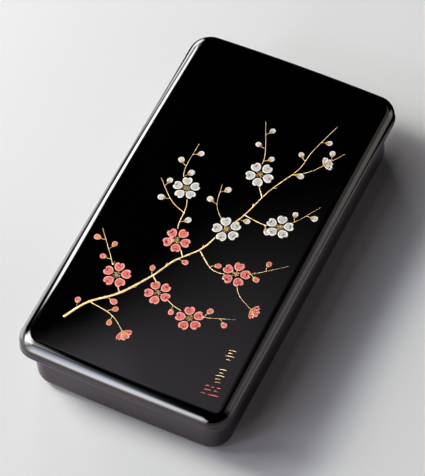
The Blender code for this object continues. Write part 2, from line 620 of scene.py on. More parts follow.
class Value:
    """A shader socket that takes part in Python arithmetic."""

    def __init__(self, finish, socket):
        self.finish = finish
        self.socket = socket

    def maths(self, operation, *inputs):
        return self.finish.node("ShaderNodeMath", {"operation": operation}, dict(enumerate(inputs)))

    def __add__(self, other):
        return self.maths("ADD", self, other)

    def __sub__(self, other):
        return self.maths("SUBTRACT", self, other)

    def __rsub__(self, other):
        return self.maths("SUBTRACT", other, self)

    def at_least(self, other):
        return self.maths("MAXIMUM", self, other)

    def at_most(self, other):
        return self.maths("MINIMUM", self, other)

    def __mul__(self, other):
        return self.maths("MULTIPLY", self, other)

    __radd__ = __add__
    __rmul__ = __mul__


class Finish:
    """A material with a Principled shader, built up node by node."""

    def __init__(self, name):
        self.material = bpy.data.materials.new(name)
        self.material.use_nodes = True
        self.tree = self.material.node_tree
        self.shader = self.tree.nodes["Principled BSDF"]

    def node(self, kind, settings=None, inputs=None, output=0):
        """Adds a node. Its settings are set before its sockets are filled or linked."""
        node = self.tree.nodes.new(kind)
        for name, setting in (settings or {}).items():
            if name == "stops":
                self.set_stops(node.color_ramp, setting)
            else:
                setattr(node, name, setting)
        for name, value in (inputs or {}).items():
            self.fill(node.inputs[name], value)
        return Value(self, node.outputs[output])

    def fill(self, socket, value):
        if isinstance(value, Value):
            self.tree.links.new(value.socket, socket)
        else:
            socket.default_value = value

    def set_stops(self, ramp, stops):
        while len(ramp.elements) < len(stops):
            ramp.elements.new(1.0)
        for element, (place, colour) in zip(ramp.elements, stops):
            element.position = place
            element.color = colour

    def set(self, **values):
        for name, value in values.items():
            self.fill(self.shader.inputs[name.replace("_", " ")], value)

    def coordinates(self, kind="Object", scale=(1.0, 1.0, 1.0)):
        places = self.node("ShaderNodeTexCoord")
        places.socket = places.socket.node.outputs[kind]
        return self.node("ShaderNodeMapping", {}, {"Vector": places, "Scale": scale})

    def noise(self, vector, scale, detail=2.0, roughness=0.5):
        return self.node("ShaderNodeTexNoise", {},
                         {"Vector": vector, "Scale": scale, "Detail": detail, "Roughness": roughness})

    def spread(self, value, low, high, to_low=0.0, to_high=1.0):
        return self.node("ShaderNodeMapRange", {"interpolation_type": "SMOOTHSTEP"},
                         {"Value": value, "From Min": low, "From Max": high,
                          "To Min": to_low, "To Max": to_high})

    def blend(self, factor, first, second):
        """Mixes two colours."""
        return self.node("ShaderNodeMix", {"data_type": "RGBA"}, {0: factor, 6: first, 7: second}, 2)

    def blend_shaders(self, factor, first, second):
        return self.node("ShaderNodeMixShader", {}, {0: factor, 1: first, 2: second})

    def vector(self, operation, *inputs, **named):
        """Vector Math, for places and for colours that go past white."""
        return self.node("ShaderNodeVectorMath", {"operation": operation},
                         {**dict(enumerate(inputs)), **named})

    def axes(self, vector):
        return [self.node("ShaderNodeSeparateXYZ", {}, {"Vector": vector}, axis) for axis in range(3)]

    def profile(self, value, stops):
        """A level between 0 and 1 that follows (place, level) stops along a value."""
        start, end = stops[0][0], stops[-1][0]
        share = (value - start) * (1.0 / (end - start))
        greys = [((place - start) / (end - start), grey(level)) for place, level in stops]
        shade = self.node("ShaderNodeValToRGB", {"stops": greys}, {"Fac": share})
        return self.node("ShaderNodeSeparateColor", {}, {"Color": shade})

    def bump(self, height, distance):
        return self.node("ShaderNodeBump", {}, {"Height": height, "Distance": distance, "Strength": 1.0})


def opaque(colour):
    return (colour[0], colour[1], colour[2], 1.0)


def grey(level):
    return (level, level, level, 1.0)


def scaled(colour, share):
    return [channel * share for channel in colour]


def lacquer(look):
    """Polished black lacquer, with the faint waves of a hand-rubbed coat."""
    finish = Finish("Polished black lacquer")
    places = finish.coordinates()
    cloud = finish.noise(places, 60.0, 3.0)
    tone = finish.blend(cloud, opaque(look.black), opaque(scaled(look.black, 0.6)))
    wear = finish.spread(finish.noise(places, 900.0, 4.0, 0.6), 0.35, 0.75)
    rough = look.polish + wear * (look.rubbed - look.polish)
    ripple = finish.noise(places, 45.0, 1.0)
    finish.set(Base_Color=tone, Roughness=rough, Metallic=0.0, IOR=look.refraction,
               Normal=finish.bump(ripple, look.ripple))
    return finish.material


def enamel(name, fill, rim, deep):
    """Raised paint: brushed fill, a paler rim and a deeper tone towards the base."""
    finish = Finish(name)
    outline = finish.node("ShaderNodeAttribute", {"attribute_name": "rim"}, {}, 2)
    streaks = finish.noise(finish.coordinates("UV", (14.0, 2.2, 1.0)), 1.6, 3.0, 0.6)
    along_it = finish.node("ShaderNodeSeparateXYZ", {}, {"Vector": finish.coordinates("UV")}, 1)
    depth = finish.spread(along_it, 0.75, 0.0) * 0.45 + finish.spread(streaks, 0.35, 0.75) * 0.55
    body = finish.blend(depth, opaque(fill), opaque(deep))
    worn = finish.spread(finish.noise(finish.coordinates(), 2600.0, 2.0), 0.30, 0.62, 0.55, 1.0)
    colour = finish.blend(outline * worn, body, opaque(rim))
    finish.set(Base_Color=colour, Roughness=finish.spread(streaks, 0.3, 0.8, 0.36, 0.52), Metallic=0.0,
               Normal=finish.bump(streaks, 0.00004))
    return finish.material


def gold_powder(name, light, deep):
    """Sprinkled gold: brush streaks along each line, and the sparkle of separate grains."""
    finish = Finish(name)
    streaks = finish.noise(finish.coordinates("UV", (5.0, 1.0, 1.0)), 2.0, 3.0, 0.6)
    places = finish.coordinates()
    grains = finish.noise(places, 5200.0, 2.0, 0.6)
    patches = finish.noise(places, 700.0, 2.0)
    depth = finish.spread(streaks, 0.35, 0.65) * 0.6 + finish.spread(patches, 0.40, 0.62) * 0.55
    finish.set(Base_Color=finish.blend(depth, opaque(light), opaque(deep)), Metallic=0.45,
               Roughness=finish.spread(grains, 0.3, 0.7, 0.42, 0.62), Normal=finish.bump(grains, 0.00003))
    return finish.material


# Settings

def length_setting(name, description, default, precision=4):
    return bpy.props.FloatProperty(name=name, description=description, default=default,
                                   unit="LENGTH", precision=precision)


def angle_setting(name, description, degrees):
    return bpy.props.FloatProperty(name=name, description=description, default=math.radians(degrees),
                                   subtype="ANGLE")


def amount_setting(name, description, default):
    return bpy.props.FloatProperty(name=name, description=description, default=default)


def count_setting(name, description, default):
    return bpy.props.IntProperty(name=name, description=description, default=default)


def colour_setting(name, description, default):
    return bpy.props.FloatVectorProperty(name=name, description=description, default=default,
                                         size=3, subtype="COLOR", min=0.0, max=1.0)


class BoxSizes(bpy.types.PropertyGroup):
    """Sizes of the box and its lid."""

    width: length_setting("Width", "Across the lid", LID_HIGH.x - LID_LOW.x)
    length: length_setting("Length", "Along the lid, taken at its corners",
                           LID_HIGH.y - LID_LOW.y - 2 * END_SWELL)
    height: length_setting("Height", "From the underside to the middle of the lid",
                           LID_HIGH.z - BOX_LOW.z)
    end_swell: length_setting("End swell", "How far the short walls bow outwards", END_SWELL)
    far_swell: length_setting("Far swell", "Further bow of the far wall", 0.0005)
    crown: length_setting("Crown", "Rise of the lid's top at its middle", 0.0006)
    lead_in: length_setting("Lead-in", "Fall of the top before its rounded edge", 0.0002)
    lid_lip: length_setting("Lid lip level", "Height of the lid's lower lip", LID_LOW.z)
    lid_wall: length_setting("Lid wall", "Thickness of the lid's skirt and top", 0.0042)
    lid_corner: length_setting("Lid corner", "Radius of the lid's corners", 0.0128)
    lid_shoulder: length_setting("Lid shoulder", "Radius of the rounded edge of the top", 0.0052)
    lip_round: length_setting("Lip round", "Radius of the lid's lower edge", 0.0005)
    corner_flare: length_setting("Corner flare", "How far the skirt's lip stands out at the corners",
                                 0.0006)
    box_rim: length_setting("Box rim level", "Height of the box's rim", BOX_HIGH.z)
    box_wall: length_setting("Box wall", "Thickness of the box's walls and floor", 0.0040)
    box_corner: length_setting("Box corner", "Radius of the box's corners", 0.0125)
    box_heel: length_setting("Box heel", "Radius of the rounded lower edge", 0.0080)
    slide_gap: length_setting("Gap", "Room between lid and box", 0.0007)
    corner_steps: count_setting("Corner steps", "Facets in each upright corner", 24)
    rim_steps: count_setting("Rim steps", "Facets in each rounded rim", 18)
    cuts_across: count_setting("Cuts across", "Straight cuts across the width", 15)
    cuts_along: count_setting("Cuts along", "Straight cuts along the length", 25)


class LacquerLook(bpy.types.PropertyGroup):
    """Colour and polish of the lacquer."""

    black: colour_setting("Black", "Colour of the lacquer", (0.0006, 0.0004, 0.0005))
    refraction: amount_setting("Refraction", "Index of refraction of the coat", 1.52)
    polish: amount_setting("Polish", "Roughness where it is polished most", 0.02)
    rubbed: amount_setting("Rubbed", "Roughness where it is worn most", 0.05)
    ripple: length_setting("Ripple", "Depth of the waves in the coat", 0.00001, precision=6)


class SprayLook(bpy.types.PropertyGroup):
    """Colours of the blossom spray."""

    gold: colour_setting("Gold", "Sprinkled gold of twigs and stamens", (0.66, 0.52, 0.30))
    amber: colour_setting("Amber", "Deeper tone in the gold", (0.42, 0.24, 0.075))
    coral: colour_setting("Coral", "Fill of the coral petals", (0.60, 0.090, 0.068))
    coral_rim: colour_setting("Coral rim", "Outline of the coral petals", (0.86, 0.38, 0.31))
    ivory: colour_setting("Ivory", "Fill of the ivory petals", (0.57, 0.53, 0.47))
    ivory_rim: colour_setting("Ivory rim", "Outline of the ivory petals", (0.93, 0.92, 0.88))
    seed: count_setting("Seed", "Start of the seeded unevenness", 7)


class StageLook(bpy.types.PropertyGroup):
    """Camera, floor and lights."""

    lens: amount_setting("Lens", "Focal length on a 36 mm sensor", 208.88)
    azimuth: angle_setting("Azimuth", "Camera direction round the box", 31.5628)
    elevation: angle_setting("Elevation", "Camera height above the floor", 57.3282)
    roll: angle_setting("Roll", "Turn of the camera about its axis", -6.3725)
    distance: length_setting("Distance", "Camera to target", 1.6386252)
    target: bpy.props.FloatVectorProperty(
        name="Target", description="Point that the camera looks at", default=(-0.0088645, 0.0144414, 0.0),
        size=3, subtype="TRANSLATION", precision=4)
    floor_colour: colour_setting("Floor", "Colour of the floor", (0.80, 0.80, 0.80))
    floor_tint: colour_setting("Mirrored floor", "Tint of the floor as the lacquer mirrors it",
                               (0.80, 0.71, 0.79))
    floor_light: amount_setting("Floor light", "Brightness of all lamps that light the floor", 1.0)
    floor_sheen: amount_setting("Floor sheen", "Brightness of the light that grazes the floor", 8.0)
    key_light: amount_setting("Left lights", "Brightness of the two large lights on the left", 22.0)
    low_left_light: amount_setting("Low left light", "Brightness of the strip under them", 15.0)
    left_glow: amount_setting("Left glow", "Brightness low down on the left", 5.0)
    front_light: amount_setting("Front light", "Brightness of the light in front", 14.8)
    wall_light: amount_setting("Right wall", "Brightness of the pale wall on the right", 2.3)
    haze_light: amount_setting("Haze", "Brightness of the haze that the lid's top mirrors", 0.66)


def carry(piece, material, slot, *nodes):
    """Gives a finished piece its material and its body, and hides the solids that it replaces. The slot is
    not used.
    """
    piece.data.materials.clear()
    piece.data.materials.append(material)
    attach(piece, "root")
    if nodes:
        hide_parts(*nodes)


def finish_relief(parts, name, sizes, angle, material, slot):
    """Joins like shapes into one piece that follows the lid's top."""
    piece = join(parts, name)
    lay_on_lid(piece, sizes)
    smooth(piece, angle)
    carry(piece, material, slot)


# The operators

class WRITINGBOX_OT_box(bpy.types.Operator):
    """The box under the lid: walls, floor, rounded heel and soft rim"""

    bl_idname = "writingbox.box"
    bl_label = "Box"

    def execute(self, context):
        sizes = context.scene.writing_box_sizes
        look = context.scene.writing_box_lacquer
        inset = sizes.lid_wall + sizes.slide_gap
        hollow = inset + sizes.box_wall
        outer = rounded_block(sizes, "box_outside", inset, 0.0, sizes.box_rim, sizes.box_corner,
                              bottom_round=sizes.box_heel, bottom_steps=18)
        inner = rounded_block(sizes, "box_inside", hollow, sizes.box_wall, sizes.box_rim,
                              sizes.box_corner - sizes.box_wall,
                              bottom_round=sizes.box_heel - sizes.box_wall, bottom_steps=12)
        box = shell_of(outer, inner, sizes.box_rim, "writing_box_body")
        with editing(box):
            round_off(box, is_sharp_at(sizes.box_rim), BOX_RIM_ROUND, 5)
            cut_at(2, [sizes.box_heel + SUPPORT, sizes.box_rim - BOX_RIM_ROUND - SUPPORT])
        bow_ends(box, sizes, hollow)
        smooth(box, SHELL_ANGLE)
        carry(box, lacquer(look), "box_lacquer", "box")
        return {"FINISHED"}


class WRITINGBOX_OT_lid(bpy.types.Operator):
    """The cap lid: crowned top, round shoulders, short skirt and soft lip"""

    bl_idname = "writingbox.lid"
    bl_label = "Lid"

    def execute(self, context):
        sizes = context.scene.writing_box_sizes
        look = context.scene.writing_box_lacquer
        edge = sizes.height - sizes.crown
        hollow = sizes.lid_wall + sizes.slide_gap + sizes.box_wall
        outer = rounded_block(sizes, "lid_outside", 0.0, sizes.lid_lip, edge, sizes.lid_corner,
                              top_round=sizes.lid_shoulder, bottom_round=sizes.lip_round, bottom_steps=4)
        with editing(outer):
            ease_flat(outer, edge, EASE_RINGS)
            skirt_cuts = [sizes.lid_lip + CUT_FROM + CUT_STEP * i for i in range(CUTS)]
            cut_at(2, [edge - sizes.lid_shoulder - 0.0004] + skirt_cuts)
        for vert in outer.data.vertices:
            x, y, z = vert.co
            if z > edge - sizes.lid_shoulder - 0.0002:
                vert.co.z += crown_height(sizes, x, y)
            elif distance_in(sizes, x, y) < SKIRT_DEPTH:
                way = outward(sizes, x, y)
                vert.co += way * skirt_profile(sizes, way, z - sizes.lid_lip)
        inner = rounded_block(sizes, "lid_inside", sizes.lid_wall, sizes.lid_lip, edge - sizes.lid_wall,
                              sizes.box_corner + sizes.slide_gap, top_round=CEILING_ROUND)
        lid = shell_of(outer, inner, sizes.lid_lip, "writing_box_lid")
        with editing(lid):
            round_off(lid, is_sharp_at(sizes.lid_lip), LID_MOUTH_ROUND, 3)
        bow_ends(lid, sizes, hollow)
        smooth(lid, SHELL_ANGLE)
        carry(lid, lacquer(look), "lid_lacquer", "lid")
        return {"FINISHED"}


def all_paths():
    """The twigs' paths and, last, the bough's."""
    return [smooth_path(twig[0]) for twig in TWIGS] + [smooth_path(BOUGH)]


def bud_places():
    """Each bud's foot on its twig, its own place, its direction and whether it is coral."""
    paths = all_paths()
    for twig, share, side, coral in BUDS:
        foot, direction = along(paths[twig], share)
        out = left_of(direction) * side
        place = foot + out * BUD_ASIDE + direction * BUD_ONWARD
        yield foot, place, (out * 0.9 + direction * 0.8).normalized(), coral


def clear_runs(path, widths):
    """The stretches of a line that lie clear of the open blossoms, each with its widths."""
    runs = [[]]
    for place, width in zip(path, widths):
        if any((place - Vector(blossom[:2])).length < CLEAR_OF_BLOSSOM * blossom[3]
               for blossom in CORAL_BLOSSOMS + IVORY_BLOSSOMS):
            runs.append([])
        else:
            runs[-1].append((place, width))
    return [tuple(zip(*run)) for run in runs if len(run) > 1]


def left_of(direction):
    """The level direction a quarter turn to the left."""
    return Vector((-direction.y, direction.x))


def turn_of(direction):
    """The turn in degrees that points a shape's +Y this way."""
    return math.degrees(math.atan2(direction.y, direction.x)) - 90


def open_blossom(petal, x, y, turn, size, squeeze):
    """Five petals round one centre."""
    whole = placing(x, y, turn, size, squeeze)
    return [copy_of(petal, whole @ placing(0, 0, 72 * i) @ placing(0, PETAL_FOOT)) for i in range(5)]


def half_open_blossom(petal, x, y, turn, size):
    """Three petals seen from the side, fanned from one foot."""
    whole = placing(x, y, turn, size)
    foot = placing(0, 0.9, 0, 0.86)
    fan = [(-52, 0.62), (52, 0.62), (0, 1.0)]
    return [copy_of(petal, whole @ placing(0, 0, lean) @ foot @ Matrix.Diagonal((wide, 1, 1, 1)))
            for lean, wide in fan]


class WRITINGBOX_OT_boughs(bpy.types.Operator):
    """The gold bough, its twigs and spurs, and the stalks and sepals of the buds"""

    bl_idname = "writingbox.boughs"
    bl_label = "Boughs and twigs"

    def execute(self, context):
        sizes = context.scene.writing_box_sizes
        spray = context.scene.writing_box_spray
        self.add_boughs(sizes, spray)
        self.add_sepals(sizes, spray)
        return {"FINISHED"}

    def add_boughs(self, sizes, spray):
        dice = random.Random(spray.seed)
        gold = gold_powder("Sprinkled gold", spray.gold, spray.amber)
        paths = all_paths()
        lines = []
        for run, widths in clear_runs(paths[-1], tapered(len(paths[-1]), *BOUGH_WIDTHS, UNEVEN, dice)):
            lines.append(drawn_line("bough", run, widths, BOUGH_TALL))
        for path, (_, start, end) in zip(paths, TWIGS):
            widths = tapered(len(path), start * 0.8, end * 0.9, UNEVEN, dice)
            for run, run_widths in clear_runs(path, widths):
                lines.append(drawn_line("twig", run, run_widths, TWIG_TALL))
        for foot, place, direction, _ in bud_places():
            bend = (foot + place) / 2 + left_of(direction) * 0.35
            stalk = smooth_path([foot, bend, place + direction * 0.3], 5)
            lines.append(drawn_line("stalk", stalk, tapered(len(stalk), *STALK_WIDTHS), STALK_TALL))
        for twig, share, side in SPURS:
            foot, direction = along(paths[twig], share)
            out = left_of(direction) * side
            bend, tip = foot + out * 0.9 + direction * 0.7, foot + out * 1.5 + direction * 1.9
            spur = smooth_path([foot, bend, tip], 4)
            lines.append(drawn_line("spur", spur, tapered(len(spur), *SPUR_WIDTHS), STALK_TALL))
        finish_relief(lines, "gold_boughs", sizes, LINE_ANGLE, gold, "gold_decoration")

    def add_sepals(self, sizes, spray):
        """Three sepals behind each bud and four behind each half-open blossom."""
        dark_gold = gold_powder("Darker gold", spray.amber, scaled(spray.amber, 0.6))
        sepal = make_sepal()
        small = []
        raised = Matrix.Translation((0.0, 0.0, SEPAL_LIFT * MM))
        for _, place, direction, _ in bud_places():
            for lean in (-48, 0, 48):
                turned = placing(place.x, place.y, turn_of(direction) + lean)
                small.append(copy_of(sepal, turned @ raised))
        raised = Matrix.Translation((0.0, 0.0, HALF_OPEN_LIFT * MM))
        for x, y, turn, _ in CORAL_HALF_OPEN + IVORY_HALF_OPEN:
            for lean in (-64, -24, 24, 64):
                small.append(copy_of(sepal, placing(x, y, turn + lean, 1.25) @ raised))
        put_away(sepal)
        finish_relief(small, "gold_sepals", sizes, LINE_ANGLE, dark_gold, "gold_decoration")


class WRITINGBOX_OT_blossoms(bpy.types.Operator):
    """The coral and ivory blossoms and buds, and the gold stamens"""

    bl_idname = "writingbox.blossoms"
    bl_label = "Blossoms and buds"

    def execute(self, context):
        sizes = context.scene.writing_box_sizes
        spray = context.scene.writing_box_spray
        dice = random.Random(spray.seed)
        gold = gold_powder("Gold beads", spray.gold, spray.amber)
        coral = enamel("Coral enamel", spray.coral, spray.coral_rim, scaled(spray.coral, 0.62))
        ivory = enamel("Ivory enamel", spray.ivory, spray.ivory_rim, scaled(spray.ivory, 0.62))
        petal = make_petal()
        bud = make_bud()
        kinds = (("coral", coral, CORAL_BLOSSOMS, CORAL_HALF_OPEN, True),
                 ("ivory", ivory, IVORY_BLOSSOMS, IVORY_HALF_OPEN, False))
        for name, paint, blossoms, half_open, is_coral in kinds:
            petals = []
            for blossom in blossoms:
                petals += open_blossom(petal, *blossom)
            for blossom in half_open:
                petals += half_open_blossom(petal, *blossom)
            slot = name + "_decoration"
            finish_relief(petals, name + "_petals", sizes, PETAL_ANGLE, paint, slot)
            buds = []
            for _, place, direction, of_coral in bud_places():
                if of_coral == is_coral:
                    size = dice.uniform(0.86, 1.04)
                    buds.append(copy_of(bud, placing(place.x, place.y, turn_of(direction), size)))
            finish_relief(buds, name + "_buds", sizes, PETAL_ANGLE, paint, slot)
        put_away(petal, bud)

        stamen = make_stamen()
        rays = []
        for x, y, turn, size, squeeze in CORAL_BLOSSOMS + IVORY_BLOSSOMS:
            for i in range(STAMENS):
                reach = dice.uniform(0.42, 1.14)
                lean = 360 / STAMENS * i + dice.uniform(-8, 8)
                turned = placing(x, y, turn, size, squeeze) @ placing(0, 0, lean)
                rays.append(copy_of(stamen, turned @ Matrix.Diagonal((1.0, reach, 1.0, 1.0))))
        raised = Matrix.Translation((0.0, MM, HALF_OPEN_LIFT * MM))
        for x, y, turn, _ in CORAL_HALF_OPEN + IVORY_HALF_OPEN:
            for lean in (-26, -9, 9, 26):
                rays.append(copy_of(stamen, placing(x, y, turn + lean, 1.1) @ raised))
        put_away(stamen)
        finish_relief(rays, "gold_stamens", sizes, PETAL_ANGLE, gold, "gold_decoration")
        return {"FINISHED"}


class WRITINGBOX_OT_strokes(bpy.types.Operator):
    """The rows of short gold and red strokes beside the spray"""

    bl_idname = "writingbox.strokes"
    bl_label = "Strokes"

    def execute(self, context):
        sizes = context.scene.writing_box_sizes
        spray = context.scene.writing_box_spray
        dice = random.Random(spray.seed)
        gold = gold_powder("Gold strokes", spray.gold, spray.amber)
        red = enamel("Red strokes", spray.coral, spray.coral_rim, spray.coral)
        for name, strokes, paint, slot in (("gold_strokes", GOLD_STROKES, gold, "gold_decoration"),
                                           ("red_strokes", RED_STROKES, red, "coral_decoration")):
            lines = []
            for x0, y0, x1, y1, width in strokes:
                lift = dice.uniform(0.15, 0.35)
                middle = ((x0 + x1) / 2, (y0 + y1) / 2 + lift)
                path = smooth_path([(x0, y0), middle, (x1, y1)], 6)
                widths = [width * (0.45 + 0.75 * math.sin(math.pi * (0.12 + 0.80 * i / (len(path) - 1))))
                          for i in range(len(path))]
                lines.append(drawn_line("stroke", path, widths, STROKE_TALL))
            finish_relief(lines, name, sizes, LINE_ANGLE, paint, slot)
        return {"FINISHED"}


def toward(bearing, elevation, distance, seen_from):
    """The point that lies this way from a place on the box. Bearings run from +X towards +Y, in degrees."""
    turn, rise = math.radians(bearing), math.radians(elevation)
    way = Vector((math.cos(rise) * math.cos(turn), math.cos(rise) * math.sin(turn), math.sin(rise)))
    return Vector(seen_from) + way * distance


def unseen(thing, diffuse, glossy):
    """Hides a light from the camera, and chooses what it lights."""
    thing.visible_camera = False
    thing.visible_shadow = False
    thing.visible_transmission = False
    thing.visible_diffuse = diffuse
    thing.visible_glossy = glossy


def black_glow(name):
    """A finish that shines with its emission alone."""
    finish = Finish(name)
    finish.set(Base_Color=grey(0.0), Roughness=1.0, Specular_IOR_Level=0.0, Emission_Strength=1.0)
    return finish


def add_plane(name, size, height=0.0):
    deselect_all()
    bpy.ops.mesh.primitive_plane_add(size=size, location=(0.0, 0.0, height))
    plane = bpy.context.object
    plane.name = name
    bpy.ops.object.transform_apply(location=True, rotation=True, scale=True)
    return plane


def floor_lamp(distance, bearings, elevations, colour):
    """A lamp that lights the floor and the paint, and that the lacquer doesn't mirror."""
    right, left = bearings
    corners = [toward(bearing, elevation, distance, LAMP_AIM)
               for elevation in elevations for bearing in (left, right)]
    lamp = add_plane("floor_lamp", 1.0)
    for vert, corner in zip(lamp.data.vertices, corners):
        vert.co = corner
    finish = black_glow("floor_lamp")
    finish.set(Emission_Color=opaque(colour))
    lamp.data.materials.append(finish.material)
    unseen(lamp, diffuse=True, glossy=False)


def high_light(finish, bearing, rise):
    """High left light, with a soft slanted foot."""
    spread = finish.spread
    foot = (56.0 - (bearing - 146.0) * 0.41).at_most(57.0)
    soft = ((bearing - 150.0) * 0.12 + 2.0).at_least(1.5)
    return (spread(rise - foot, soft * -1.0, soft) * spread(bearing, 136.2, 138.0)
            * spread(rise + (148.5 - bearing).at_least(0.0) * 0.5, 70.0, 63.6)
            * spread(bearing + (rise - 48.0) * 0.6, 212.0, 180.0))


def left_lights(finish, stage, bearing, rise):
    """The high light and its shelf, the tall light, the dim seam under it and the strip below that."""
    spread = finish.spread
    shelf = spread(rise, 74.5, 69.0) * spread(bearing, 150.0, 166.0) * spread(bearing, 220.0, 206.0)
    past = rise - 28.0
    right_edge = 148.3 - past * past * 0.0168
    left_edge = (147.5 - past * 0.55 - past * past * 0.018).at_least(125.0)
    head = 49.5 + ((bearing - 133.0) * 2.4).at_least(0.0).at_most(4.7)
    under_head = spread(rise - head, 0.35, -0.35)
    tall = (spread(bearing - right_edge, 0.9, -0.9) * spread(bearing - left_edge, -1.0, 1.0)
            * spread(rise, 25.0, 33.0) * under_head)
    seam = (spread(bearing - right_edge, 0.5, -0.5) * spread(bearing, 124.0, 127.0)
            * spread(rise, 20.0, 27.0) * spread(rise, 51.0, 46.0) * under_head)
    low_edge = 151.9 - rise * 0.08 - rise * rise * 0.0075
    low = (spread(bearing - low_edge, 0.8, -0.8) * spread(bearing, 125.0, 131.0)
           * finish.profile(rise, [(-2, 0.50), (6, 0.60), (10, 0.62), (16, 0.74), (22, 0.95), (28, 1.0),
                                   (33, 0.68), (38, 0.40), (47, 0.40)]) * under_head)
    bright = (high_light(finish, bearing, rise) + tall) * stage.key_light
    return bright + shelf * SHELF_LIGHT + seam * SEAM_LIGHT + low * stage.low_left_light


def low_glow(finish, bearing, rise):
    """Glow low down between the left lights and the front one."""
    spread = finish.spread
    head = 27.0 - (bearing - 162.0).at_least(0.0) * 0.35
    return (spread(bearing - rise.at_most(26.0) * 0.10, 151.7, 153.1) * spread(rise - head, 8.0, -6.0)
            * spread(bearing, 200.0, 184.0))


def front_light(finish, bearing, rise):
    """Front light, which fades into the curtain on its left."""
    spread = finish.spread
    arch = 68.0 - (bearing - 220.0).at_least(0.0) * 0.55
    arch = arch - (bearing - 240.0).at_least(0.0).at_most(12.0) * 0.75
    blur = 3.0 + (bearing - 236.0).at_least(0.0).at_most(16.0) * 0.35
    dimmer = (1.0 - spread(rise, 10.0, 46.0, 0.42, 1.0)) * spread(bearing, 228.0, 214.0)
    across = [(190, 0), (196, 0.09), (206, 0.20), (214, 0.23), (222, 0.31), (230, 0.44), (238, 0.57),
              (242, 0.67), (246, 0.85), (251, 1.0), (255, 0.85), (259, 0.63), (264, 0.57), (270, 0.50),
              (274, 0.26), (277, 0.06), (281, 0)]
    return (finish.profile(bearing, across) * spread(rise - arch, blur, blur * -1.0) * (1.0 - dimmer)
            * spread(rise, -4.0, 24.0, 0.60, 1.0))


def front_tint(finish, rise):
    """The front light is cool above and warm below."""
    stops = [(0.0, (1.07, 1.0, 0.92, 1.0)), (0.25, (1.02, 1.0, 0.99, 1.0)), (0.47, (0.97, 1.0, 1.05, 1.0)),
             (0.67, (0.94, 1.0, 1.12, 1.0)), (0.85, (0.92, 1.0, 1.21, 1.0)), (1.0, (0.91, 1.0, 1.33, 1.0))]
    return finish.node("ShaderNodeValToRGB", {"stops": stops}, {"Fac": rise * (1.0 / 64.0)})


def right_wall(finish, bearing, rise):
    """Pale wall on the right, and its dimmer upper part."""
    spread = finish.spread
    across = [(0, 0.05), (12, 0.13), (22, 0.33), (28, 0.56), (36, 0.74), (44, 0.92), (52, 1.0), (58, 0.80),
              (62, 0.30), (67, 0)]
    upper = (spread(bearing, 8.0, 32.0) * spread(bearing, 98.0, 84.0) * spread(rise, 66.0, 58.0)
             * spread(rise, 36.0, 46.0) * 0.28)
    return finish.profile(bearing, across) * spread(rise, 46.0, 36.0) + upper


def overhead_haze(finish, bearing, rise):
    """Haze overhead, which gives the lid's top its soft sheen."""
    spread = finish.spread
    foot = 59.6 + (bearing - 127.0).at_least(0.0) * 0.05
    soft = (3.0 - (bearing - 122.0) * 0.30).at_least(0.9).at_most(3.4)
    head = 64.0 + (128.0 - bearing).at_least(0.0) * 0.5
    return (spread(bearing, 108.0, 120.0, 0.05, 1.0) * spread(rise - foot, soft * -1.0, soft)
            * spread(rise - head, 2.0, -2.0) * spread(bearing, 92.0, 106.0)
            * spread(bearing, 133.5, 130.8)
            * (1.0 + spread(rise, 59.7, 61.2) * spread(bearing, 126.0, 128.5) * 0.4))


def room_lights(finish, stage):
    """What the lacquer mirrors: each light's brightness by bearing and elevation, in degrees."""
    x, y, z = finish.axes(finish.vector("NORMALIZE", finish.coordinates()))
    turn = y.maths("ARCTAN2", y, x) * math.degrees(1) + 360.0
    bearing = turn.maths("MODULO", turn, 360.0)
    rise = z.maths("ARCSINE", z) * math.degrees(1)
    white = left_lights(finish, stage, bearing, rise) + low_glow(finish, bearing, rise) * stage.left_glow
    parts = ((WHITE, white),
             (front_tint(finish, rise), front_light(finish, bearing, rise) * stage.front_light),
             (WALL_TINT, right_wall(finish, bearing, rise) * stage.wall_light),
             (HAZE_TINT, overhead_haze(finish, bearing, rise) * stage.haze_light))
    total = (0.0, 0.0, 0.0)
    for colour, level in parts:
        total = finish.vector("ADD", total, finish.vector("SCALE", colour, Scale=level))
    return total


def view_back(stage):
    """The direction from the box back to the camera."""
    across = math.cos(stage.elevation)
    return Vector((math.sin(stage.azimuth) * across, -math.cos(stage.azimuth) * across,
                   math.sin(stage.elevation)))


